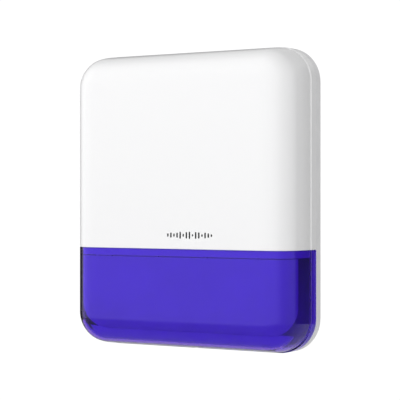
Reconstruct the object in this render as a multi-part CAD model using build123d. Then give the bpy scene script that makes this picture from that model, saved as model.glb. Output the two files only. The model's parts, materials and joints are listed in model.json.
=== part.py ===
from build123d import *
from collections import namedtuple
import math
import os

# A wall-mounted outdoor alarm siren. The origin is at the centre of the flat back face,
# +Z is up, +X is to the right seen from the front, and the siren stands out towards -Y.
# A "depth" is a distance in front of the back face, so y = -depth. Sizes are in millimetres.

# Overall size
WIDTH = 203.0
HEIGHT = 234.0
DEPTH = 49.0
CORNER_R = 27.0

# The skin in depth: band of the back box, flange of the cover, then the crowned front
PARTING = 8.2
PARTING_GAP = 0.15
CREASE = 16.3
CREASE_STEP = 0.8
CROWN_INSET = 24.5
EDGE_R = 18.0
SIDE_TURN = math.radians(14.0)
FACE_TURN = math.radians(14.0)
WALL = 2.4
FACE_BACK = DEPTH - WALL
SEAM_Z = -37.7
SEAM_GAP = 0.3

# Back box: floor, rim with its seal groove, and the lip that the cover slips over
FLOOR = 2.6
BACK_CHAMFER = 0.8
SEAL_OUT = 0.8
SEAL_IN = 2.0
SEAL_T = 0.8
LIP_OUT = 2.8
LIP_IN = 4.6
LIP_DEPTH = 13.0
LIP_NOTCH_W = 126.0
WALL_HOLE_R = 2.3
WALL_HOLE_X = 60.0
WALL_HOLE_Z = 105.0
WALL_BOSS_T = 3.0
WALL_BOSS_H = 1.4
FLOOR_RIB_W = 120.0
FLOOR_RIB_T = 1.4
FLOOR_RIB_H = 2.0
FLOOR_RIB_Z = (44.0, 94.0)
POCKET_COUNT = 9
POCKET_PITCH = 12.0
POCKET_W = 5.0
POCKET_H = 42.0
POCKET_Z = 36.0
POCKET_DEEP = 0.7
DRAIN_COUNT = 13
DRAIN_PITCH = 8.0
DRAIN_W = 3.2
DRAIN_DEPTHS = (3.6, 6.4)

# Screws and the posts they go into
PILOT_R = 1.1
SCREW_HEAD_R = 2.6
SCREW_HEAD_H = 1.5
RECESS_LONG = 3.2
RECESS_WIDE = 0.8
RECESS_DEEP = 0.8
SCREW_PLAY = 0.3
POST_R = 3.0

# Main board
BOARD_BACK = 10.0
BOARD_T = 1.6
BOARD_FRONT = BOARD_BACK + BOARD_T
BOARD_X = (8.0, 88.0)
BOARD_Z = (-20.0, 86.0)
BOARD_EDGE = 4.0
BOARD_R = 2.0

# A component on the main board: its centre, its front-view size and how far it stands
Component = namedtuple("Component", "x z width height tall")
SHIELD = Component(70.0, 66.0, 26.0, 20.0, 3.0)
ANTENNA_FOOT = Component(64.0, 80.2, 28.0, 2.4, 0.5)
ANTENNA_BLADE = Component(64.0, 79.25, 28.0, 0.5, 9.5)
TERMINAL = Component(30.0, -11.0, 14.0, 9.0, 10.0)
TRANSFORMER_CORE = Component(40.0, 56.0, 12.0, 12.0, 9.0)
TRANSFORMER_COIL = Component(40.0, 56.0, 9.0, 14.0, 7.0)
CHIPS = (Component(58.0, 46.0, 12.0, 12.0, 1.2), Component(30.0, 72.0, 6.0, 5.0, 1.4),
         Component(56.0, 26.0, 8.0, 5.0, 1.4))
COVER_TAMPER = Component(30.0, 4.0, 13.0, 6.5, 6.4)
PAIRING = Component(70.0, 30.0, 6.0, 6.0, 3.6)
POWER = Component(70.0, 10.0, 13.0, 6.0, 4.2)
SHIELD_HOLES = 5
SHIELD_HOLE_PITCH = 4.0
TERMINAL_WAYS = (26.5, 33.5)
TERMINAL_WELL = 3.0
CONNECTOR_X = 16.0
CONNECTOR_Z = (20.0, 36.0, 52.0)
CONNECTOR_W = 8.0
CONNECTOR_H = 7.0
CONNECTOR_T = 6.5
CONNECTOR_WALL = 1.0
CONNECTOR_FLOOR = 2.0
PLUG_FRONT = 8.0
CAPACITOR_R = 5.0
CAPACITOR_TALL = 14.0
CAPACITOR_X = 40.0
CAPACITOR_Z = (24.0, 38.0)
STATUS_X, STATUS_Z = 84.0, 44.0

# Switches that stand off the main board or reach through the floor
TAMPER_TIP = 22.0
TAMPER_STEM_R = 1.45
TAMPER_PAD_R = 2.4
WALL_TAMPER_X, WALL_TAMPER_Z = 62.0, -33.0
WALL_TAMPER_R = 2.3
WALL_TAMPER_FRONT = 11.0
PAIRING_R = 1.7
POWER_TRAVEL = 3.0
POWER_KNOB_W = 3.2
POWER_KNOB_H = 2.4

# Four battery cells in a tray of two rows and two columns, under a sliding lid
CELL_R = 8.5
CELL_LENGTH = 34.5
CELL_TIP_R = 3.0
CELL_TIP_T = 0.8
CELL_EDGE = 0.5
CONTACT_T = 0.5
CONTACT_W = 12.0
DIMPLE_R = 2.5
DIMPLE_T = 0.9
TRAY_X = -44.0
TRAY_Z = 70.0
TRAY_W = 80.0
TRAY_H = 40.0
TRAY_R = 2.0
TRAY_WALL = 1.6
TRAY_FLOOR = 1.5
CELL_DEPTH = FLOOR + TRAY_FLOOR + CELL_R + 0.1
LID_BACK = 22.4
LID_T = 1.6
LID_PLAY = 0.3
DIVIDER_DROP = 5.0
RAIL_T = 1.5
RAIL_LIP = 1.8
GRIP_COUNT = 4
GRIP_PITCH = 3.0
GRIP_W = 1.2
GRIP_H = 18.0
GRIP_T = 0.8

# Sounder: a piezo disc across a cup, under a slotted cap with a throat
SOUNDER_X = -46.0
SOUNDER_Z = -3.0
SOUNDER_R = 34.0
SOUNDER_WALL = 3.0
SOUNDER_FLOOR = 2.0
SOUNDER_FRONT = 20.0
SOUNDER_LEDGE = 14.0
CAP_T = 3.0
THROAT_OUT_R = 11.0
THROAT_R = 8.5
THROAT_T = 5.0
CAP_SLOTS = 12
CAP_SLOT_RING = 22.0
CAP_SLOT_LONG = 13.0
CAP_SLOT_WIDE = 3.0
PIEZO_R = 25.0
PIEZO_T = 0.5
PIEZO_REST = 4.0
CERAMIC_R = 18.0
CERAMIC_T = 0.4
EAR_RING_R = 38.0
EAR_R = 5.0
EAR_T = 3.4
EAR_ANGLES = (90.0, 210.0, 330.0)

# Strobe: a light board in a white reflector tray
REFLECTOR_W = 148.0
REFLECTOR_Z = (-94.0, -48.0)
REFLECTOR_FRONT = 18.0
REFLECTOR_FLOOR = BOARD_FRONT
REFLECTOR_RIM = 1.5
REFLECTOR_SLOPE = 30.0
REFLECTOR_R = 4.0
STROBE_W = 104.0
STROBE_H = 20.0
STROBE_Z = -71.0
STROBE_FRONT = REFLECTOR_FLOOR + BOARD_T
LED_COUNT = 8
LED_PITCH = 12.0
LED_SIDE = 5.0
LED_T = 1.0
LED_DOME_R = 1.9
LED_DOME_T = 1.2

# Cover lock screw, driven from below into a lug of the back box
LOCK_DEPTH = 12.9
LOCK_BOSS_R = 4.4
LOCK_BOSS_TOP = -104.0
LOCK_LUG_W = 13.0
LOCK_LUG_FRONT = LOCK_DEPTH + 4.4
LOCK_LUG_Z = (-102.5, -98.5)
LUG_RIB_T = 2.0
LUG_RIB_H = 4.0
LOCK_INSERT_R = 3.0
LOCK_SHANK_R = 1.75
LOCK_HEAD_R = 2.9
LOCK_HEAD_Z = (-116.2, -113.8)
LOCK_SOCKET_R = 1.7
LOCK_SOCKET_DEEP = 1.4
WASHER_T = 0.6
WASHER_GAP = 0.05
LOCK_TRAVEL = 5.0
LOCK_SEAT_Z = LOCK_HEAD_Z[1] + WASHER_GAP + WASHER_T + LOCK_TRAVEL + 0.1

# White diffuser bonded behind the lens; it stops above the lens's lower edge and ends in a flange
DIFFUSER_GAP = 0.15
DIFFUSER_T = 1.2
DIFFUSER_BACK = 30.5
DIFFUSER_LIFT = 9.0
FLANGE_INSET = 5.0
FLANGE_TOP = -102.0

# The tongue behind the seam, the ears that hold the lens, and the cover's stiffening ribs
TONGUE_BACK = 14.5
TONGUE_DROP = 6.0
TONGUE_T = 1.6
TONGUE_ROOT = (1.0, 6.0)
EAR_X = (-66.0, -22.0, 22.0, 66.0)
EAR_W = 9.0
EAR_SCREW_Z = -26.0
EAR_BACK = FACE_BACK - 4.2
EAR_FRONT = FACE_BACK - 2.2
COVER_BOSS_R = 3.2
TAMPER_BOSS_R = 3.0
COVER_RIB_X = (-80.0, -40.0, 40.0, 80.0)
COVER_RIB_Z = 108.0
COVER_RIB_T = 1.4
COVER_RIB_H = 11.0
COVER_RIB_DEPTHS = (20.0, 34.0)

# Sound outlet slots in the underside
SLOT_COUNT = 9
SLOT_START = 14.0
SLOT_PITCH = 5.5
SLOT_W = 2.4
SLOT_DEPTHS = (9.8, 15.2)

# Cable entry in the back, with its rubber grommet
ENTRY_X, ENTRY_Z = 26.0, -32.0
ENTRY_R = 6.5
GROMMET_BORE_R = 4.0
GROMMET_BACK = 0.4
GROMMET_FLANGE = 2.0
GROMMET_FLANGE_T = 1.6

# Spirit level
LEVEL_Z = 103.5
LEVEL_DEPTH = 9.5
LEVEL_W = 38.0
LEVEL_H = 9.6
CLIP_X = 13.0
CLIP_W = 4.0
CLIP_T = 2.6
VIAL_R = 3.4
VIAL_LENGTH = 32.0
VIAL_WALL = 0.6

# Internal leads
LEAD_R = 1.0
LEAD_BEND = 2.4


def slab(sketch, near, far):
    """Extrude a front-view sketch between two depths."""
    return extrude(Plane.XZ.offset(near) * sketch, far - near)


def rect(x, z, width, height, radius=0.0):
    """A front-view rectangle, with rounded corners when a radius is given."""
    shape = RectangleRounded(width, height, radius) if radius else Rectangle(width, height)
    return Pos(x, z) * shape


def block(x, z, width, height, near, far, radius=0.0):
    """A box along the depth, with rounded corners when a radius is given."""
    return slab(rect(x, z, width, height, radius), near, far)


def peg(x, z, radius, near, far):
    """A cylinder along the depth."""
    return slab(Pos(x, z) * Circle(radius), near, far)


def rod_x(x, z, radius, length, depth):
    """A cylinder along the width, centred on x."""
    return Pos(x, -depth, z) * Rot(0, 90, 0) * Cylinder(radius, length)


def rod_z(radius, low, high):
    """A cylinder along the height, on the lock screw's axis."""
    return Pos(0, -LOCK_DEPTH, (low + high) / 2) * Cylinder(radius, high - low)


def outline(inset):
    """The siren's front-view outline, set in all round."""
    return RectangleRounded(WIDTH - 2 * inset, HEIGHT - 2 * inset, CORNER_R - inset)


def crown_radii():
    """The side and face radii that carry the profile from the crease to the flat front."""
    side_in, side_up = 1 - math.cos(SIDE_TURN), math.sin(SIDE_TURN)
    face_in, face_up = math.sin(FACE_TURN), 1 - math.cos(FACE_TURN)
    inset = CROWN_INSET - EDGE_R * (math.cos(SIDE_TURN) - face_in)
    rise = DEPTH - CREASE - EDGE_R * (math.cos(FACE_TURN) - side_up)
    scale = side_in * face_up - face_in * side_up
    side_r = (inset * face_up - face_in * rise) / scale
    face_r = (side_in * rise - side_up * inset) / scale
    return side_r, face_r


def skin_profile(offset, near):
    """Half section of the front, from a corner's axis out to the skin set in by offset."""
    side_r, face_r = crown_radii()
    stops = (0.0, SIDE_TURN, math.pi / 2 - FACE_TURN, math.pi / 2)
    centre = Vector(CORNER_R - CREASE_STEP - side_r, -CREASE)
    flange = CORNER_R - offset
    points = [(0, -near), (flange, -near), (flange, -(CREASE - CREASE_STEP))]
    points.append((flange - CREASE_STEP, -CREASE))
    edges = [Line(a, b) for a, b in zip(points, points[1:])]
    last_r = side_r
    for radius, start, end in zip((side_r, EDGE_R, face_r), stops, stops[1:]):
        towards = Vector(math.cos(start), -math.sin(start))
        centre = centre + towards * (last_r - radius)
        size = math.degrees(start - end)
        edges.append(CenterArc(centre, radius - offset, -math.degrees(start), size))
        last_r = radius
    front = -(DEPTH - offset)
    edges.append(Line((centre.X, front), (0, front)))
    edges.append(Line((0, front), (0, -near)))
    return make_face(edges)


def front_solid(offset, near):
    """The siren's front as a solid, set in by offset and cut off at the near depth."""
    cx, cz = WIDTH / 2 - CORNER_R, HEIGHT / 2 - CORNER_R
    profile = skin_profile(offset, near)
    side_face = Plane(origin=(cx, 0, cz), x_dir=(1, 0, 0), z_dir=(0, 0, 1)) * profile
    top_face = Plane(origin=(cx, 0, cz), x_dir=(0, 0, 1), z_dir=(-1, 0, 0)) * profile
    quarter = block(cx / 2, cz / 2, cx, cz, near, DEPTH - offset)
    quarter += extrude(side_face, -cz)
    quarter += extrude(top_face, cx)
    quarter += revolve(side_face, Axis((cx, 0, cz), (0, -1, 0)), revolution_arc=90)
    half = quarter + mirror(quarter, Plane.YZ)
    return half + mirror(half, Plane.XY)


def shell(outer, inner, near):
    """The layer of the front between two offsets, forward of the near depth."""
    return front_solid(outer, near) - front_solid(inner, near)


def level_band(low, high, near, far):
    """A block across the whole width between two heights."""
    return block(0, (low + high) / 2, WIDTH + 2, high - low, near, far)


def centred(count, pitch):
    """Evenly spaced places about zero."""
    return [(step - (count - 1) / 2) * pitch for step in range(count)]


def around(radius, angles):
    """Places on a circle about the sounder's axis, at angles in degrees."""
    return [(SOUNDER_X + radius * math.cos(math.radians(angle)),
             SOUNDER_Z + radius * math.sin(math.radians(angle))) for angle in angles]


def board_holes():
    return [(x, z) for x in (BOARD_X[0] + BOARD_EDGE, BOARD_X[1] - BOARD_EDGE)
            for z in (BOARD_Z[0] + BOARD_EDGE, BOARD_Z[1] - BOARD_EDGE)]


def reflector_holes():
    x = REFLECTOR_W / 2 - BOARD_EDGE
    return [(side * x, z) for side in (-1, 1)
            for z in (REFLECTOR_Z[0] + BOARD_EDGE, REFLECTOR_Z[1] - BOARD_EDGE)]


def strobe_holes():
    return [(side * (STROBE_W / 2 - BOARD_EDGE), STROBE_Z) for side in (-1, 1)]


def wall_holes():
    return [(sx * WALL_HOLE_X, sz * WALL_HOLE_Z) for sx in (-1, 1) for sz in (-1, 1)]


def cross_screw(x, z, seat, tip):
    """A pan-head screw from its tip to its seat, with its cross-recessed head beyond."""
    outward = math.copysign(1, seat - tip)
    head_end = seat + outward * SCREW_HEAD_H
    screw = peg(x, z, PILOT_R, tip, seat) + peg(x, z, SCREW_HEAD_R, seat, head_end)
    for width, height in ((RECESS_LONG, RECESS_WIDE), (RECESS_WIDE, RECESS_LONG)):
        screw -= block(x, z, width, height, head_end - outward * RECESS_DEEP, head_end)
    return screw


def rim_ring():
    return slab(outline(SEAL_OUT) - outline(SEAL_IN), PARTING - SEAL_T, PARTING)


def lock_lug():
    """The lug that the lock screw goes into, on two ribs, bored for its brass thread."""
    low, high = LOCK_LUG_Z
    lug = block(0, (low + high) / 2, LOCK_LUG_W, high - low, FLOOR, LOCK_LUG_FRONT)
    lug -= rod_z(LOCK_INSERT_R, low, high)
    for side in (-1, 1):
        rib_x = side * (LOCK_LUG_W - LUG_RIB_T) / 2
        lug += block(rib_x, high + LUG_RIB_H / 2, LUG_RIB_T, LUG_RIB_H, FLOOR, LOCK_DEPTH)
    return lug


def back_box():
    """The tray on the wall, with its lip, screw posts, cable entry and lock lug."""
    box = slab(outline(0), 0, PARTING)
    box = chamfer(box.edges().group_by(Axis.Y)[-1], BACK_CHAMFER)
    box -= slab(outline(LIP_IN), FLOOR, PARTING)
    box -= rim_ring()
    lip = slab(outline(LIP_OUT) - outline(LIP_IN), PARTING, LIP_DEPTH)
    box += lip - block(0, -HEIGHT / 2, LIP_NOTCH_W, 3 * LIP_IN, PARTING, LIP_DEPTH)
    for x, z in board_holes() + reflector_holes():
        box += peg(x, z, POST_R, FLOOR, BOARD_BACK)
        box -= peg(x, z, PILOT_R, FLOOR + 1, BOARD_BACK)
    for x, z in wall_holes():
        box += peg(x, z, WALL_HOLE_R + WALL_BOSS_T, FLOOR, FLOOR + WALL_BOSS_H)
        box -= peg(x, z, WALL_HOLE_R, 0, FLOOR + WALL_BOSS_H)
    box -= peg(ENTRY_X, ENTRY_Z, ENTRY_R, 0, FLOOR)
    box -= peg(WALL_TAMPER_X, WALL_TAMPER_Z, WALL_TAMPER_R + SCREW_PLAY, 0, FLOOR)
    box += lock_lug()
    for z in FLOOR_RIB_Z:
        box += block(0, z, FLOOR_RIB_W, FLOOR_RIB_T, FLOOR, FLOOR + FLOOR_RIB_H)
    for x in centred(POCKET_COUNT, POCKET_PITCH):
        box -= block(x, POCKET_Z, POCKET_W, POCKET_H, 0, POCKET_DEEP, POCKET_W / 2 - 0.1)
    for x in centred(DRAIN_COUNT, DRAIN_PITCH):
        box -= block(x, -HEIGHT / 2, DRAIN_W, 2 * LIP_IN + 1, *DRAIN_DEPTHS)
    return box


def upper_cover():
    """The white front above the seam, with a tongue behind the lens and its bosses."""
    near = PARTING + PARTING_GAP
    cover = shell(0, WALL, near) & level_band(SEAM_Z, HEIGHT / 2 + 1, PARTING, DEPTH + 1)
    root_low, root_high = (SEAM_Z + rise for rise in TONGUE_ROOT)
    tongue = shell(WALL + 0.1, WALL + 0.1 + TONGUE_T, TONGUE_BACK)
    cover += tongue & level_band(SEAM_Z - TONGUE_DROP, root_high, TONGUE_BACK, DEPTH)
    bridge = shell(WALL - 0.2, WALL + 0.4, TONGUE_BACK)
    cover += bridge & level_band(root_low, root_high, TONGUE_BACK, DEPTH)
    for x in EAR_X:
        cover += peg(x, EAR_SCREW_Z, COVER_BOSS_R, EAR_FRONT, FACE_BACK + 0.2)
        cover -= peg(x, EAR_SCREW_Z, PILOT_R, EAR_FRONT, FACE_BACK)
    cover += peg(COVER_TAMPER.x, COVER_TAMPER.z, TAMPER_BOSS_R, TAMPER_TIP + 0.1, FACE_BACK + 0.2)
    for x in COVER_RIB_X:
        cover += block(x, COVER_RIB_Z, COVER_RIB_T, COVER_RIB_H, *COVER_RIB_DEPTHS)
    return cover


def strobe_lens():
    """The coloured lens below the seam, with its lock boss and sound slots."""
    skin = shell(0, WALL, PARTING + PARTING_GAP)
    lens = skin & level_band(-HEIGHT / 2 - 1, SEAM_Z - SEAM_GAP, PARTING, DEPTH + 1)
    lens += rod_z(LOCK_BOSS_R, -HEIGHT / 2 + 0.5, LOCK_BOSS_TOP)
    lens -= rod_z(LOCK_HEAD_R + 0.2, -HEIGHT / 2 - 1, LOCK_SEAT_Z)
    lens -= rod_z(LOCK_SHANK_R + 0.2, LOCK_SEAT_Z, LOCK_BOSS_TOP)
    for side in (-1, 1):
        for step in range(SLOT_COUNT):
            x = side * (SLOT_START + step * SLOT_PITCH)
            lens -= block(x, -HEIGHT / 2, SLOT_W, 2 * LIP_IN, *SLOT_DEPTHS, SLOT_W / 2 - 0.01)
    return lens


def diffuser_ear(x, root_high):
    """An ear that reaches up behind the tongue to the cover's boss, with its root."""
    low, high = root_high - TONGUE_DROP, EAR_SCREW_Z + EAR_W / 2 - 0.5
    ear = block(x, (low + high) / 2, EAR_W, high - low, EAR_BACK, EAR_FRONT)
    ear -= peg(x, EAR_SCREW_Z, PILOT_R + SCREW_PLAY, EAR_BACK, EAR_FRONT)
    root_front = FACE_BACK - DIFFUSER_T
    return ear + block(x, (low + root_high) / 2, EAR_W, root_high - low, EAR_BACK, root_front)


def light_diffuser():
    """The white shell close behind the lens, with a lower flange and four fixing ears."""
    outer = WALL + DIFFUSER_GAP
    high = SEAM_Z - TONGUE_DROP - 2 * SEAM_GAP
    skin = shell(outer, outer + DIFFUSER_T, PARTING + PARTING_GAP)
    diffuser = Pos(0, 0, DIFFUSER_LIFT) * skin
    diffuser &= level_band(-HEIGHT / 2, high, DIFFUSER_BACK, DEPTH)
    flange = slab(outline(FLANGE_INSET), DIFFUSER_BACK - DIFFUSER_T, DIFFUSER_BACK + SEAM_GAP)
    diffuser += flange & level_band(-HEIGHT / 2, FLANGE_TOP, PARTING, DEPTH)
    for x in EAR_X:
        diffuser += diffuser_ear(x, high)
    return diffuser


def lens_screws():
    """Screws driven from behind through the diffuser's ears into the cover's bosses."""
    return [cross_screw(x, EAR_SCREW_Z, EAR_BACK, FACE_BACK - 0.6) for x in EAR_X]


def cable_grommet():
    """A rubber sleeve in the cable entry, held by a flange inside."""
    front = FLOOR + GROMMET_FLANGE_T
    sleeve = peg(ENTRY_X, ENTRY_Z, ENTRY_R, GROMMET_BACK, FLOOR)
    sleeve += peg(ENTRY_X, ENTRY_Z, ENTRY_R + GROMMET_FLANGE, FLOOR, front)
    return sleeve - peg(ENTRY_X, ENTRY_Z, GROMMET_BORE_R, GROMMET_BACK, front)


def lock_insert():
    """The brass thread in the lock lug."""
    return rod_z(LOCK_INSERT_R, *LOCK_LUG_Z) - rod_z(LOCK_SHANK_R + 0.05, *LOCK_LUG_Z)


def cover_screw():
    """The captive lock screw, shown backed out, with a hexagon socket below."""
    low, high = LOCK_HEAD_Z
    screw = rod_z(LOCK_HEAD_R, low, high)
    screw += rod_z(LOCK_SHANK_R, high, LOCK_BOSS_TOP - 0.2)
    socket = Plane.XY.offset(low) * (Pos(0, -LOCK_DEPTH) * RegularPolygon(LOCK_SOCKET_R, 6))
    return screw - extrude(socket, LOCK_SOCKET_DEEP)


def screw_washer():
    """The washer that travels up the boss with the screw's head."""
    low = LOCK_HEAD_Z[1] + WASHER_GAP
    high = low + WASHER_T
    return rod_z(LOCK_HEAD_R, low, high) - rod_z(LOCK_SHANK_R + 0.06, low, high)


def battery_tray():
    """An open tray with a cross divider, an exit for the lead and two rails for the lid."""
    front = LID_BACK - LID_PLAY
    inner_h = TRAY_H - 2 * TRAY_WALL
    tray = block(TRAY_X, TRAY_Z, TRAY_W, TRAY_H, FLOOR, front, TRAY_R)
    tray -= block(TRAY_X, TRAY_Z, TRAY_W - 2 * TRAY_WALL, inner_h, FLOOR + TRAY_FLOOR, LID_BACK)
    for width, height in ((TRAY_W, TRAY_WALL), (TRAY_WALL, TRAY_H)):
        tray += block(TRAY_X, TRAY_Z, width, height, FLOOR + 1, front - DIVIDER_DROP)
    rail = LID_BACK + LID_T + LID_PLAY
    for side in (-1, 1):
        wall_z = TRAY_Z + side * (TRAY_H - TRAY_WALL) / 2
        tray += block(TRAY_X, wall_z, TRAY_W, TRAY_WALL, FLOOR, rail + RAIL_T)
        lip_z = TRAY_Z + side * (inner_h - TRAY_WALL) / 2
        tray += block(TRAY_X, lip_z, TRAY_W, RAIL_LIP, rail, rail + RAIL_T)
    left, right = TRAY_X - TRAY_W / 2, TRAY_X + TRAY_W / 2
    tray += block(left + TRAY_WALL / 2, TRAY_Z, TRAY_WALL, TRAY_H, FLOOR, rail)
    lead_exit = block(right, CONNECTOR_Z[2] + 6, 4 * TRAY_WALL, 2.4 * LEAD_R, 7, 9.4)
    return tray - lead_exit


def cell_places():
    pitch_x = (TRAY_W - TRAY_WALL) / 2
    pitch_z = (TRAY_H - TRAY_WALL) / 2
    return [(TRAY_X + sx * pitch_x / 2, TRAY_Z + sz * pitch_z / 2)
            for sx in (-1, 1) for sz in (-1, 1)]


def battery_cells():
    cells = []
    for x, z in cell_places():
        can_x = x - CELL_TIP_T / 2
        can = rod_x(can_x, z, CELL_R, CELL_LENGTH - CELL_TIP_T, CELL_DEPTH)
        can = chamfer(can.edges(), CELL_EDGE)
        tip_x = x + (CELL_LENGTH - CELL_TIP_T) / 2
        cells.append(can + rod_x(tip_x, z, CELL_TIP_R, CELL_TIP_T, CELL_DEPTH))
    return cells


def battery_contacts():
    """A pressed plate with a dimple at each end of each cell."""
    plates = []
    for x, z in cell_places():
        for side in (-1, 1):
            plate_x = x + side * (CELL_LENGTH / 2 + 1.2)
            dimple_x = x + side * (CELL_LENGTH / 2 + 0.5)
            plate = block(plate_x, z, CONTACT_T, CONTACT_W, FLOOR + TRAY_FLOOR, 20)
            plates.append(plate + rod_x(dimple_x, z, DIMPLE_R, DIMPLE_T, CELL_DEPTH))
    return plates


def battery_lid():
    """The lid that slides out of its rails to the right, with finger ribs."""
    length = TRAY_W - TRAY_WALL - LID_PLAY
    right = TRAY_X + TRAY_W / 2
    front = LID_BACK + LID_T
    lid = block(right - length / 2, TRAY_Z, length, TRAY_H - 2 * (TRAY_WALL + LID_PLAY),
                LID_BACK, front)
    for step in range(GRIP_COUNT):
        grip_x = right - 2 * GRIP_PITCH - step * GRIP_PITCH
        lid += block(grip_x, TRAY_Z, GRIP_W, GRIP_H, front, front + GRIP_T)
    return lid


def main_board():
    width, height = BOARD_X[1] - BOARD_X[0], BOARD_Z[1] - BOARD_Z[0]
    x, z = sum(BOARD_X) / 2, sum(BOARD_Z) / 2
    board = block(x, z, width, height, BOARD_BACK, BOARD_FRONT, BOARD_R)
    for hole_x, hole_z in board_holes():
        board -= peg(hole_x, hole_z, PILOT_R + SCREW_PLAY + 0.1, BOARD_BACK, BOARD_FRONT)
    return board


def on_board(part, radius=0.0):
    """A component as a block standing on the main board."""
    front = BOARD_FRONT + part.tall
    return block(part.x, part.z, part.width, part.height, BOARD_FRONT, front, radius)


def radio_shield():
    can = on_board(SHIELD, 1)
    front = BOARD_FRONT + SHIELD.tall
    for offset in centred(SHIELD_HOLES, SHIELD_HOLE_PITCH):
        can -= block(SHIELD.x + offset, SHIELD.z, GRIP_W, GRIP_W, front - 0.4, front)
    return can


def antenna():
    """A bent strip: a soldered foot and a standing blade."""
    return on_board(ANTENNA_FOOT) + on_board(ANTENNA_BLADE)


def terminal_block():
    """Two screw wells in front and two wire mouths below."""
    body = on_board(TERMINAL)
    front = BOARD_FRONT + TERMINAL.tall
    for x in TERMINAL_WAYS:
        body -= peg(x, TERMINAL.z, 2.2, front - TERMINAL_WELL, front)
        body -= block(x, TERMINAL.z - 4, 4, 2.5, BOARD_FRONT + 1.5, BOARD_FRONT + 5.5)
    return body


def terminal_screws():
    """A slotted screw at the bottom of each well."""
    back = BOARD_FRONT + TERMINAL.tall - TERMINAL_WELL
    front = back + 1.6
    return [peg(x, TERMINAL.z, 2.1, back, front) - block(x, TERMINAL.z, 3.4, 0.7, front - 0.8, front)
            for x in TERMINAL_WAYS]


def connector_socket(z, inset, near, far):
    width, height = CONNECTOR_W - 2 * inset, CONNECTOR_H - 2 * inset
    return block(CONNECTOR_X, z, width, height, BOARD_FRONT + near, BOARD_FRONT + far)


def board_connectors():
    """The three open sockets that the leads plug into."""
    return [connector_socket(z, 0, 0, CONNECTOR_T)
            - connector_socket(z, CONNECTOR_WALL, CONNECTOR_FLOOR, CONNECTOR_T)
            for z in CONNECTOR_Z]


def connector_plugs():
    """The three lead plugs pressed into the board connectors."""
    return [connector_socket(z, CONNECTOR_WALL + 0.1, CONNECTOR_FLOOR + 0.1, PLUG_FRONT)
            for z in CONNECTOR_Z]


def capacitors():
    cans = []
    for z in CAPACITOR_Z:
        can = peg(CAPACITOR_X, z, CAPACITOR_R, BOARD_FRONT, BOARD_FRONT + CAPACITOR_TALL)
        cans.append(chamfer(can.edges().group_by(Axis.Y)[0], 0.5))
    return cans


def drive_transformer():
    return on_board(TRANSFORMER_CORE) + on_board(TRANSFORMER_COIL)


def board_chips():
    return [on_board(chip) for chip in CHIPS]


def status_led():
    return peg(STATUS_X, STATUS_Z, 1.5, BOARD_FRONT, BOARD_FRONT + 3)


def cover_tamper_switch():
    well = peg(COVER_TAMPER.x, COVER_TAMPER.z, TAMPER_STEM_R + 0.05,
               BOARD_FRONT + 1, BOARD_FRONT + COVER_TAMPER.tall)
    return on_board(COVER_TAMPER) - well


def cover_tamper_plunger():
    """A stem with a pad that the cover's boss presses."""
    x, z, pad_back = COVER_TAMPER.x, COVER_TAMPER.z, TAMPER_TIP - 1
    stem = peg(x, z, TAMPER_STEM_R, BOARD_FRONT + 1.2, pad_back)
    return stem + peg(x, z, TAMPER_PAD_R, pad_back, TAMPER_TIP)


def wall_tamper_switch():
    """A switch body over the hole in the floor, with a stepped cap."""
    body = block(WALL_TAMPER_X, WALL_TAMPER_Z, 16, 9, FLOOR, WALL_TAMPER_FRONT)
    body += block(WALL_TAMPER_X, WALL_TAMPER_Z, 6, 5, WALL_TAMPER_FRONT, WALL_TAMPER_FRONT + 1.5)
    return body - peg(WALL_TAMPER_X, WALL_TAMPER_Z, WALL_TAMPER_R + 0.05, FLOOR, WALL_TAMPER_FRONT - 2)


def wall_tamper_plunger():
    """The plunger that the wall holds in, flush with the back face."""
    stem = peg(WALL_TAMPER_X, WALL_TAMPER_Z, WALL_TAMPER_R, 0, WALL_TAMPER_FRONT - 3)
    return chamfer(stem.edges().group_by(Axis.Y)[-1], 0.4)


def pairing_switch():
    well = peg(PAIRING.x, PAIRING.z, PAIRING_R + 0.05, BOARD_FRONT + 1.4, BOARD_FRONT + PAIRING.tall)
    return on_board(PAIRING) - well


def pairing_button():
    return peg(PAIRING.x, PAIRING.z, PAIRING_R, BOARD_FRONT + 1.9, BOARD_FRONT + 5)


def power_switch():
    slot = block(POWER.x, POWER.z, POWER_TRAVEL + POWER_KNOB_W + 0.4, POWER_KNOB_H + 0.4,
                 BOARD_FRONT + 1, BOARD_FRONT + POWER.tall)
    return on_board(POWER) - slot


def power_slider():
    """The slider stands at the left end of its slot, which is the off position."""
    x = POWER.x - POWER_TRAVEL / 2
    return block(x, POWER.z, POWER_KNOB_W, POWER_KNOB_H, BOARD_FRONT + 1.2, BOARD_FRONT + 6.5)


def sounder_peg(radius, near, far):
    return peg(SOUNDER_X, SOUNDER_Z, radius, near, far)


def sounder_cup():
    """The back half of the sounder's resonator, with a ledge for the disc and three ears."""
    inside = FLOOR + SOUNDER_FLOOR
    inner_r = SOUNDER_R - SOUNDER_WALL
    cup = sounder_peg(SOUNDER_R, FLOOR, SOUNDER_FRONT)
    for x, z in around(EAR_RING_R, EAR_ANGLES):
        cup += peg(x, z, EAR_R, FLOOR, FLOOR + EAR_T)
    cup -= sounder_peg(inner_r, inside, SOUNDER_FRONT)
    cup += sounder_peg(inner_r + 0.1, inside, SOUNDER_LEDGE)
    cup -= sounder_peg(PIEZO_R - PIEZO_REST, inside, SOUNDER_LEDGE)
    for x, z in around(EAR_RING_R, EAR_ANGLES):
        cup -= peg(x, z, PILOT_R, FLOOR + 0.6, FLOOR + EAR_T)
    return cup


def piezo_disc():
    return sounder_peg(PIEZO_R, SOUNDER_LEDGE, SOUNDER_LEDGE + PIEZO_T)


def piezo_ceramic():
    back = SOUNDER_LEDGE + PIEZO_T
    return sounder_peg(CERAMIC_R, back, back + CERAMIC_T)


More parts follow.
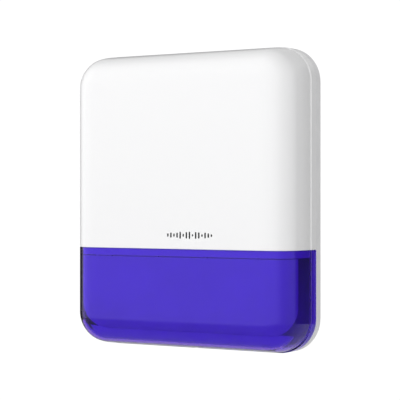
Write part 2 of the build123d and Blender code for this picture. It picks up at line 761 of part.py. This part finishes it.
def sounder_cap():
    """The front half, with a throat tube and a ring of outlet slots."""
    front = SOUNDER_FRONT + CAP_T
    cap = sounder_peg(SOUNDER_R, SOUNDER_FRONT, front)
    cap = chamfer(cap.edges().group_by(Axis.Y)[0], 1)
    cap += sounder_peg(THROAT_OUT_R, front, front + THROAT_T)
    cap -= sounder_peg(THROAT_R, SOUNDER_FRONT, front + THROAT_T)
    angles = [360 / CAP_SLOTS * step for step in range(CAP_SLOTS)]
    for angle, (x, z) in zip(angles, around(CAP_SLOT_RING, angles)):
        slot = Pos(x, z) * Rot(0, 0, angle) * SlotOverall(CAP_SLOT_LONG, CAP_SLOT_WIDE)
        cap -= slab(slot, SOUNDER_FRONT, front)
    return cap


def reflector():
    """A white tray behind the lens whose sloped sides throw the light forward."""
    low, high = REFLECTOR_Z
    mid, height = (low + high) / 2, high - low
    tray = block(0, mid, REFLECTOR_W, height, BOARD_BACK, REFLECTOR_FRONT, REFLECTOR_R)
    mouth = rect(0, mid, REFLECTOR_W - 2 * REFLECTOR_RIM, height - 2 * REFLECTOR_RIM, REFLECTOR_R - 1)
    tray -= extrude(Plane.XZ.offset(REFLECTOR_FRONT) * mouth, -(REFLECTOR_FRONT - REFLECTOR_FLOOR),
                    taper=REFLECTOR_SLOPE)
    for x, z in reflector_holes():
        tray += peg(x, z, POST_R + 0.2, BOARD_BACK, BOARD_FRONT)
        tray -= peg(x, z, PILOT_R + SCREW_PLAY, BOARD_BACK, BOARD_FRONT)
        tray -= peg(x, z, POST_R + 0.1, BOARD_FRONT, REFLECTOR_FRONT)
    for x, z in strobe_holes():
        tray -= peg(x, z, PILOT_R, BOARD_BACK, BOARD_FRONT)
    return tray


def strobe_board():
    board = block(0, STROBE_Z, STROBE_W, STROBE_H, REFLECTOR_FLOOR, STROBE_FRONT, 1.5)
    for x, z in strobe_holes():
        board -= peg(x, z, PILOT_R + SCREW_PLAY, REFLECTOR_FLOOR, STROBE_FRONT)
    return board


def strobe_leds():
    """A row of light packages, each a square base with a round dome."""
    front = STROBE_FRONT + LED_T
    return [block(x, STROBE_Z, LED_SIDE, LED_SIDE, STROBE_FRONT, front)
            + peg(x, STROBE_Z, LED_DOME_R, front, front + LED_DOME_T)
            for x in centred(LED_COUNT, LED_PITCH)]


def level_rod(radius, length):
    return rod_x(0, LEVEL_Z, radius, length, LEVEL_DEPTH)


def level_holder():
    """A cradle with two clips for the spirit level, near the top edge."""
    holder = block(0, LEVEL_Z, LEVEL_W, LEVEL_H, FLOOR, LEVEL_DEPTH)
    for side in (-1, 1):
        holder += block(side * CLIP_X, LEVEL_Z, CLIP_W, LEVEL_H, LEVEL_DEPTH, LEVEL_DEPTH + CLIP_T)
    return holder - level_rod(VIAL_R, VIAL_LENGTH)


def level_fluid():
    return level_rod(VIAL_R - VIAL_WALL, VIAL_LENGTH - 2)


def level_vial():
    return level_rod(VIAL_R, VIAL_LENGTH) - level_fluid()


def lead(points, bend):
    """A round lead through its points, with arcs at the corners."""
    path = FilletPolyline(*points, radius=bend)
    start = Plane(origin=path @ 0, z_dir=path % 0)
    return sweep(start * Circle(LEAD_R), path=path)


def sounder_lead():
    """From the lowest connector, down behind the board's edge and into the sounder cup."""
    z = CONNECTOR_Z[0]
    side_x = SOUNDER_X + SOUNDER_R
    return lead([(12, -15, z), (2.5, -15, z), (2.5, -8, SOUNDER_Z), (side_x, -8, SOUNDER_Z)],
                LEAD_BEND)


def strobe_lead():
    """From the middle connector, along the floor, over the reflector's rim to its board."""
    z = CONNECTOR_Z[1]
    down = REFLECTOR_Z[1]
    return lead([(12, -16, z), (5, -16, z), (5, -5, z - 14), (5, -5, down + 14),
                 (5, -21, down + 4), (5, -21, down - 15), (5, -STROBE_FRONT, down - 15)],
                LEAD_BEND)


def battery_lead():
    """From the upper connector to the exit in the battery tray's side."""
    z = CONNECTOR_Z[2]
    tray_side = TRAY_X + TRAY_W / 2
    return lead([(12, -15, z), (2, -15, z), (2, -8.2, z + 6), (tray_side, -8.2, z + 6)], LEAD_BEND)


def board_screws():
    return [cross_screw(x, z, BOARD_FRONT, FLOOR + 1.4) for x, z in board_holes()]


def reflector_screws():
    return [cross_screw(x, z, BOARD_FRONT, FLOOR + 1.4) for x, z in reflector_holes()]


def strobe_screws():
    return [cross_screw(x, z, STROBE_FRONT, BOARD_BACK + 0.1) for x, z in strobe_holes()]


def sounder_screws():
    return [cross_screw(x, z, FLOOR + EAR_T, FLOOR + 0.8) for x, z in around(EAR_RING_R, EAR_ANGLES)]


PARTS = {
    "back_box": back_box,
    "upper_cover": upper_cover,
    "strobe_lens": strobe_lens,
    "light_diffuser": light_diffuser,
    "lens_screws": lens_screws,
    "rim_seal": rim_ring,
    "cable_grommet": cable_grommet,
    "lock_insert": lock_insert,
    "cover_screw": cover_screw,
    "screw_washer": screw_washer,
    "battery_tray": battery_tray,
    "battery_cells": battery_cells,
    "battery_contacts": battery_contacts,
    "battery_lid": battery_lid,
    "main_board": main_board,
    "radio_shield": radio_shield,
    "antenna": antenna,
    "terminal_block": terminal_block,
    "terminal_screws": terminal_screws,
    "board_connectors": board_connectors,
    "connector_plugs": connector_plugs,
    "capacitors": capacitors,
    "drive_transformer": drive_transformer,
    "board_chips": board_chips,
    "status_led": status_led,
    "cover_tamper_switch": cover_tamper_switch,
    "cover_tamper_plunger": cover_tamper_plunger,
    "wall_tamper_switch": wall_tamper_switch,
    "wall_tamper_plunger": wall_tamper_plunger,
    "pairing_switch": pairing_switch,
    "pairing_button": pairing_button,
    "power_switch": power_switch,
    "power_slider": power_slider,
    "sounder_cup": sounder_cup,
    "piezo_disc": piezo_disc,
    "piezo_ceramic": piezo_ceramic,
    "sounder_cap": sounder_cap,
    "reflector": reflector,
    "strobe_board": strobe_board,
    "strobe_leds": strobe_leds,
    "level_holder": level_holder,
    "level_vial": level_vial,
    "level_fluid": level_fluid,
    "sounder_lead": sounder_lead,
    "strobe_lead": strobe_lead,
    "battery_lead": battery_lead,
    "board_screws": board_screws,
    "reflector_screws": reflector_screws,
    "strobe_screws": strobe_screws,
    "sounder_screws": sounder_screws,
}


os.makedirs("parts", exist_ok=True)
for node, make in PARTS.items():
    made = make()
    if isinstance(made, list):
        made = Compound(children=[Compound(piece.wrapped) for piece in made])
    export_step(made, "parts/" + node + ".step")
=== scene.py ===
import json
import math

import bmesh
import bpy
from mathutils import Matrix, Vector


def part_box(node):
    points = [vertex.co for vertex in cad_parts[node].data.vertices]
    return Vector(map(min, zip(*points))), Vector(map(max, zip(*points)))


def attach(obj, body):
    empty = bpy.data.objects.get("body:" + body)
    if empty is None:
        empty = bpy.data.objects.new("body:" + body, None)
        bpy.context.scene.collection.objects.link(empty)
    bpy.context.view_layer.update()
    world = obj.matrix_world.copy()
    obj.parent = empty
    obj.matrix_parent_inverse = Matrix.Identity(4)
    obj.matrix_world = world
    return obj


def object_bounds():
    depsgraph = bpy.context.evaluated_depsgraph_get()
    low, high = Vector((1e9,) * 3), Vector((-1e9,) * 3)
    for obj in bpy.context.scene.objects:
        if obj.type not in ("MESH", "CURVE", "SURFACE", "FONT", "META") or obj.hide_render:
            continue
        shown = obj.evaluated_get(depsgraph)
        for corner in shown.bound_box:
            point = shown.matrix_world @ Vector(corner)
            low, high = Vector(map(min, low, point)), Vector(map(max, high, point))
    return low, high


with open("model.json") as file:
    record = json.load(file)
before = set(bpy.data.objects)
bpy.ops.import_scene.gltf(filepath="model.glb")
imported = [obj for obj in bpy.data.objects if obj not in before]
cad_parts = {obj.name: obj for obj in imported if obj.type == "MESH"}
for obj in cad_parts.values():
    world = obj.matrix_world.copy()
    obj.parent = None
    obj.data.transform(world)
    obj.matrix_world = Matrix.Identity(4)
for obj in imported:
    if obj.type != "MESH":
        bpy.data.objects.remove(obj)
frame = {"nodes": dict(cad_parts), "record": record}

cad_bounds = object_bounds()

MM = 0.001

# ---------------------------------------------------------------- view of the siren
VIEW_AZIMUTH = math.radians(31.55)
VIEW_DISTANCE = 1.147
FOCAL_MM = 131.3
SENSOR_MM = 36.0
VIEW_SHIFT = 0.0224

SIREN_LOW, SIREN_HIGH = (Vector(corner) for corner in cad_bounds)
SIREN_MIDDLE = (SIREN_LOW + SIREN_HIGH) / 2
SEAM_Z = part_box("strobe_lens")[1].z
FACE_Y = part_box("upper_cover")[0].y


def make_camera():
    camera = bpy.data.cameras.new("view_camera")
    camera.lens = FOCAL_MM
    camera.sensor_width = SENSOR_MM
    camera.shift_x = VIEW_SHIFT
    holder = bpy.data.objects.new("view_camera", camera)
    away = Vector((math.sin(VIEW_AZIMUTH), -math.cos(VIEW_AZIMUTH), 0))
    holder.location = SIREN_MIDDLE + away * VIEW_DISTANCE
    holder.rotation_euler = (math.pi / 2, 0, VIEW_AZIMUTH)
    bpy.context.scene.collection.objects.link(holder)
    bpy.context.scene.camera = holder


# ---------------------------------------------------------------- small mesh helpers
def link(name, mesh, body, material):
    """Make an object from a mesh, in a body, with a material."""
    piece = bpy.data.objects.new(name, mesh)
    bpy.context.scene.collection.objects.link(piece)
    mesh.materials.clear()
    mesh.materials.append(material)
    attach(piece, body)
    return piece


def finish_mesh(name, bm, smooth=True):
    bmesh.ops.recalc_face_normals(bm, faces=bm.faces)
    mesh = bpy.data.meshes.new(name)
    bm.to_mesh(mesh)
    bm.free()
    for polygon in mesh.polygons:
        polygon.use_smooth = smooth
    return mesh


# ---------------------------------------------------------------- node helpers
class Shader:
    """A material under construction: one Principled shader and the nodes that feed it."""

    def __init__(self, name):
        self.material = bpy.data.materials.new(name)
        self.material.use_nodes = True
        self.tree = self.material.node_tree
        self.shader = self.tree.nodes["Principled BSDF"]
        self.place = self.node("ShaderNodeTexCoord").outputs["Object"]

    def node(self, kind, **values):
        made = self.tree.nodes.new(kind)
        for key, value in values.items():
            setattr(made, key, value)
        return made

    def join(self, source, target):
        self.tree.links.new(source, target)

    def set(self, **values):
        for key, value in values.items():
            socket = self.shader.inputs[key.replace("_", " ")]
            if hasattr(socket.default_value, "__len__") and len(value) == 3:
                value = (*value, 1.0)
            socket.default_value = value
        return self

    def noise(self, size, detail=3.0, stretch=None):
        """A noise whose features are about size metres across, stretched along an axis."""
        noise = self.node("ShaderNodeTexNoise")
        noise.inputs["Scale"].default_value = 1.0 / size
        noise.inputs["Detail"].default_value = detail
        place = self.place
        if stretch:
            mapping = self.node("ShaderNodeMapping")
            mapping.inputs["Scale"].default_value = stretch
            self.join(place, mapping.inputs["Vector"])
            place = mapping.outputs["Vector"]
        self.join(place, noise.inputs["Vector"])
        return noise.outputs["Fac"]

    def ramp(self, source, stops):
        ramp = self.node("ShaderNodeValToRGB")
        elements = ramp.color_ramp.elements
        while len(elements) < len(stops):
            elements.new(0.5)
        for element, (position, colour) in zip(elements, stops):
            element.position = position
            element.color = (*colour, 1.0)
        self.join(source, ramp.inputs["Fac"])
        return ramp.outputs["Color"]

    def span(self, source, low, high, start=0.3, end=0.7):
        """Map a noise onto a range of values."""
        span = self.node("ShaderNodeMapRange")
        span.inputs["From Min"].default_value = start
        span.inputs["From Max"].default_value = end
        span.inputs["To Min"].default_value = low
        span.inputs["To Max"].default_value = high
        self.join(source, span.inputs["Value"])
        return span.outputs["Result"]

    def mix(self, factor, first, second):
        """Blend two colours, each a socket or a plain colour."""
        mix = self.node("ShaderNodeMix", data_type="RGBA")
        self.join(factor, mix.inputs["Factor"])
        for socket, value in ((mix.inputs[6], first), (mix.inputs[7], second)):
            if isinstance(value, bpy.types.NodeSocket):
                self.join(value, socket)
            else:
                socket.default_value = (*value, 1.0)
        return mix.outputs[2]

    def maths(self, operation, first, second):
        sum_node = self.node("ShaderNodeMath", operation=operation)
        for socket, value in zip(sum_node.inputs, (first, second)):
            if isinstance(value, bpy.types.NodeSocket):
                self.join(value, socket)
            else:
                socket.default_value = value
        return sum_node.outputs["Value"]

    def colour(self, source):
        self.join(source, self.shader.inputs["Base Color"])
        return self

    def roughness(self, source):
        self.join(source, self.shader.inputs["Roughness"])
        return self

    def bump(self, source, strength, depth):
        bump = self.node("ShaderNodeBump")
        bump.inputs["Strength"].default_value = strength
        bump.inputs["Distance"].default_value = depth
        self.join(source, bump.inputs["Height"])
        self.join(bump.outputs["Normal"], self.shader.inputs["Normal"])
        return self


def shade(colour, factor):
    return tuple(min(1.0, channel * factor) for channel in colour)


def moulded(name, colour, rough, grain=0.0004, relief=0.00002, mottle=0.03, **values):
    """Moulded plastic or rubber: fine surface grain, faint mottling and uneven gloss."""
    shader = Shader(name)
    tone = shader.noise(0.03, 4.0)
    stops = ((0.3, shade(colour, 1 - mottle)), (0.7, shade(colour, 1 + mottle)))
    shader.colour(shader.ramp(tone, stops))
    shader.roughness(shader.span(shader.noise(0.012, 5.0), rough - 0.04, rough + 0.05))
    shader.bump(shader.noise(grain, 4.0), 0.5, relief)
    return shader.set(**values).material


def metal(name, colour, rough, stretch=(1.0, 1.0, 12.0), grain=0.0006, **values):
    """Plated or turned metal with a drawn grain and slightly uneven polish."""
    shader = Shader(name)
    tone = shader.noise(0.004, 5.0)
    shader.colour(shader.ramp(tone, ((0.25, shade(colour, 0.82)), (0.75, shade(colour, 1.08)))))
    grain_noise = shader.noise(grain, 4.0, stretch)
    shader.roughness(shader.span(grain_noise, rough - 0.08, rough + 0.12))
    shader.bump(grain_noise, 0.3, 0.00001)
    return shader.set(Metallic=1.0, **values).material


# Depths from the wall at which the cover's crown rises from its flange, and the reach and strength of
# the shade painted into the white in front of that step
CREASE = 16.3 * MM
CREASE_STEP = 0.8 * MM
SHADE_REACH = 14 * MM
SHADE_LEVEL = 0.95

WHITE = (0.86, 0.86, 0.865)


def cover_material():
    """Satin white moulded plastic, with painted shade greying it a little where it meets the flange's
    step.
    """
    shader = Shader("satin_white")
    place = shader.node("ShaderNodeSeparateXYZ")
    shader.join(shader.place, place.inputs["Vector"])
    depth = shader.maths("MULTIPLY", place.outputs["Y"], -1.0)
    # painted shade: the white darkens from the flange's step forward over SHADE_REACH, standing in for
    # the shadow that gathers above the step
    shadow = shader.span(depth, 1.0, 0.0, CREASE, CREASE + SHADE_REACH)
    step = shader.span(depth, 0.0, 1.0, CREASE - 1.2 * CREASE_STEP, CREASE - CREASE_STEP)
    painted_crease_shade = shader.maths("MULTIPLY", shadow, step)
    shader.colour(shader.mix(painted_crease_shade, WHITE, shade(WHITE, SHADE_LEVEL)))
    shader.roughness(shader.span(shader.noise(0.0015, 2.0), 0.275, 0.285))
    shader.bump(shader.noise(0.00035, 2.0), 0.15, 0.000004)
    return shader.set(IOR=1.5, Coat_Weight=0.15, Coat_Roughness=0.15).material


LENS_TINT = (0.275, 0.125, 1.0)


def lens_material():
    """Tinted clear plastic."""
    shader = Shader("tinted_lens")
    stops = ((0.3, shade(LENS_TINT, 0.98)), (0.7, LENS_TINT))
    shader.colour(shader.ramp(shader.noise(0.05, 2.0), stops))
    shader.roughness(shader.span(shader.noise(0.02, 4.0), 0.02, 0.05))
    return shader.set(IOR=1.35, Transmission_Weight=1.0).material


make_camera()

MATERIALS = {
    "cover_white": cover_material(),
    "case_white": moulded("case_white", (0.80, 0.80, 0.81), 0.42),
    "lens_blue": lens_material(),
    "rubber_black": moulded("rubber_black", (0.02, 0.02, 0.02), 0.7),
    "brass": metal("brass", (0.75, 0.52, 0.22), 0.3),
    "tray_grey": moulded("tray_grey", (0.30, 0.32, 0.35), 0.5),
    "cell_jacket": moulded("cell_jacket", (0.03, 0.10, 0.28), 0.3),
    "spring_steel": metal("spring_steel", (0.72, 0.72, 0.70), 0.25),
    "board_green": moulded("board_green", (0.01, 0.13, 0.05), 0.3),
    "board_white": moulded("board_white", (0.78, 0.78, 0.75), 0.35),
    "tin_plate": metal("tin_plate", (0.66, 0.67, 0.68), 0.3),
    "terminal_green": moulded("terminal_green", (0.03, 0.28, 0.08), 0.45),
    "screw_steel": metal("screw_steel", (0.62, 0.62, 0.64), 0.3),
    "connector_white": moulded("connector_white", (0.78, 0.76, 0.66), 0.5),
    "capacitor_sleeve": moulded("capacitor_sleeve", (0.01, 0.012, 0.03), 0.3),
    "coil_tape": moulded("coil_tape", (0.55, 0.36, 0.04), 0.4),
    "chip_black": moulded("chip_black", (0.02, 0.02, 0.022), 0.5),
    "led_lens": moulded("led_lens", (0.8, 0.76, 0.42), 0.12),
    "sounder_black": moulded("sounder_black", (0.025, 0.025, 0.028), 0.5),
    "ceramic_white": moulded("ceramic_white", (0.75, 0.72, 0.64), 0.5),
    "reflector_white": moulded("reflector_white", (0.85, 0.85, 0.85), 0.22),
    "diffuser_white": moulded("diffuser_white", (0.80, 0.80, 0.80), 0.5),
    "vial_clear": moulded("vial_clear", (0.75, 0.95, 0.70), 0.04, Transmission_Weight=0.8),
    "vial_fluid": moulded("vial_fluid", (0.45, 0.80, 0.08), 0.05, Transmission_Weight=0.5),
    "lead_red": moulded("lead_red", (0.45, 0.02, 0.015), 0.35),
    "lead_black": moulded("lead_black", (0.015, 0.015, 0.015), 0.35),
    "button_white": moulded("button_white", (0.75, 0.75, 0.76), 0.35),
    "button_black": moulded("button_black", (0.02, 0.02, 0.02), 0.45),
    "mark_grey": moulded("mark_grey", (0.16, 0.16, 0.165), 0.45),
}


def dress_cad_nodes():
    for part in frame["record"]["subparts"]:
        node = frame["nodes"][part["node"]]
        for material_slot in node.material_slots:
            material_slot.material = MATERIALS[part["material_slot"]]


dress_cad_nodes()


# ---------------------------------------------------------------- generic mark on the cover
MARK_MIDDLE = Vector((13.6 * MM, FACE_Y, SEAM_Z + 10.9 * MM))
MARK_BARS = 15
MARK_PITCH = 2.8 * MM
MARK_BAR_W = 1.3 * MM
MARK_HIGH = 6.0 * MM
MARK_INK = 0.02 * MM
MARK_LEAST = 1.2 * MARK_BAR_W
ARC_STEPS = 6


def add_bar(bm, place, width, height):
    """One printed bar with rounded ends, its ink flush with the cover's face."""
    radius = width / 2
    outline = []
    for side in (1, -1):
        for step in range(ARC_STEPS + 1):
            angle = math.pi * step / ARC_STEPS + (0 if side == 1 else math.pi)
            up = side * (height / 2 - radius)
            outline.append(place + Vector((radius * math.cos(angle), 0, up + radius * math.sin(angle))))
    back = [bm.verts.new(point + Vector((0, MARK_INK, 0))) for point in outline]
    front = [bm.verts.new(point) for point in outline]
    bm.faces.new(back)
    bm.faces.new(front[::-1])
    for index in range(len(outline)):
        after = (index + 1) % len(outline)
        bm.faces.new((back[index], back[after], front[after], front[index]))


def add_mark():
    """A row of bars like a sound wave, printed in grey above the seam."""
    bm = bmesh.new()
    for index in range(MARK_BARS):
        across = (index - (MARK_BARS - 1) / 2) * MARK_PITCH
        fall = math.cos(1.2 * across / (MARK_BARS * MARK_PITCH / 2))
        swell = abs(math.sin(1.1 * index + 0.6)) * fall
        height = MARK_LEAST + (MARK_HIGH - MARK_LEAST) * swell
        add_bar(bm, MARK_MIDDLE + Vector((across, 0, 0)), MARK_BAR_W, height)
    mesh = finish_mesh("sound_mark", bm, smooth=False)
    link("sound_mark", mesh, "cover", MATERIALS["mark_grey"])


add_mark()


# ---------------------------------------------------------------- studio
BACKDROP = 1.05
FLOOR_R = 1.0
FLOOR_DROP = 0.30
FADE_START = 0.25 * FLOOR_R
FADE_END = 0.95 * FLOOR_R
FADE_LEAST = 0.3


def floor_material():
    """Pale matt floor that fades into the plain backdrop towards its edge."""
    shader = Shader("studio_floor")
    stops = ((0.3, (0.89, 0.89, 0.89)), (0.7, (0.9, 0.9, 0.9)))
    shader.colour(shader.ramp(shader.noise(0.3, 2.0), stops))
    shader.set(Roughness=0.8)
    radius = shader.node("ShaderNodeVectorMath", operation="LENGTH")
    shader.join(shader.place, radius.inputs[0])
    fade = shader.span(radius.outputs["Value"], FADE_LEAST, 1.0, FADE_START, FADE_END)
    seen = shader.node("ShaderNodeLightPath").outputs["Is Camera Ray"]
    glow = shader.node("ShaderNodeEmission")
    glow.inputs["Strength"].default_value = BACKDROP
    blend = shader.node("ShaderNodeMixShader")
    shader.join(shader.maths("MULTIPLY", fade, seen), blend.inputs[0])
    shader.join(shader.shader.outputs[0], blend.inputs[1])
    shader.join(glow.outputs[0], blend.inputs[2])
    shader.join(blend.outputs[0], shader.tree.nodes["Material Output"].inputs["Surface"])
    return shader.material


def make_floor():
    bm = bmesh.new()
    bmesh.ops.create_circle(bm, cap_ends=True, segments=96, radius=FLOOR_R)
    mesh = finish_mesh("studio_floor", bm, smooth=False)
    floor = bpy.data.objects.new("studio_floor", mesh)
    floor.location.z = -FLOOR_DROP
    bpy.context.scene.collection.objects.link(floor)
    mesh.materials.append(floor_material())


class Sky:
    """The studio's light by direction: a base level, with softboxes and flags blended over it."""

    def __init__(self, level):
        world = bpy.data.worlds.new("studio")
        bpy.context.scene.world = world
        world.use_nodes = True
        self.tree = world.node_tree
        self.direction = self.tree.nodes.new("ShaderNodeTexCoord").outputs["Generated"]
        value = self.tree.nodes.new("ShaderNodeValue")
        value.outputs[0].default_value = level
        self.level = value.outputs[0]

    def lobe(self, towards, level, inner, outer):
        """Blend to a level within inner degrees of a direction, fading out at outer degrees."""
        links, nodes = self.tree.links, self.tree.nodes
        dot = nodes.new("ShaderNodeVectorMath")
        dot.operation = "DOT_PRODUCT"
        dot.inputs[1].default_value = Vector(towards).normalized()
        links.new(self.direction, dot.inputs[0])
        mask = nodes.new("ShaderNodeMapRange")
        mask.interpolation_type = "SMOOTHSTEP"
        mask.inputs["From Min"].default_value = math.cos(math.radians(outer))
        mask.inputs["From Max"].default_value = math.cos(math.radians(inner))
        links.new(dot.outputs["Value"], mask.inputs["Value"])
        mix = nodes.new("ShaderNodeMix")
        mix.data_type = "FLOAT"
        mix.inputs[3].default_value = level
        links.new(mask.outputs["Result"], mix.inputs["Factor"])
        links.new(self.level, mix.inputs[2])
        self.level = mix.outputs[0]

    def show(self, backdrop):
        """Light the scene, with a plain backdrop behind it."""
        links, nodes = self.tree.links, self.tree.nodes
        seen = nodes.new("ShaderNodeLightPath")
        mix = nodes.new("ShaderNodeMix")
        mix.data_type = "FLOAT"
        mix.inputs[3].default_value = backdrop
        links.new(seen.outputs["Is Camera Ray"], mix.inputs["Factor"])
        links.new(self.level, mix.inputs[2])
        links.new(mix.outputs[0], nodes["Background"].inputs["Strength"])
        nodes["Background"].inputs["Color"].default_value = (1.0, 1.0, 1.0, 1.0)


def make_world():
    """A softbox in front on the left, dim flags beside the siren and a dimmer ceiling."""
    sky = Sky(0.90)
    sky.lobe((0, 0, 1), 0.35, 20, 75)
    sky.lobe((-0.45, -0.88, 0.1), 1.45, 35, 80)
    sky.lobe((0.6, 0.8, 0), 0.10, 20, 34)
    sky.lobe((-0.77, 0.64, 0), 0.03, 26, 40)
    sky.show(BACKDROP)


make_floor()
make_world()
bpy.context.scene.view_settings.view_transform = "Standard"
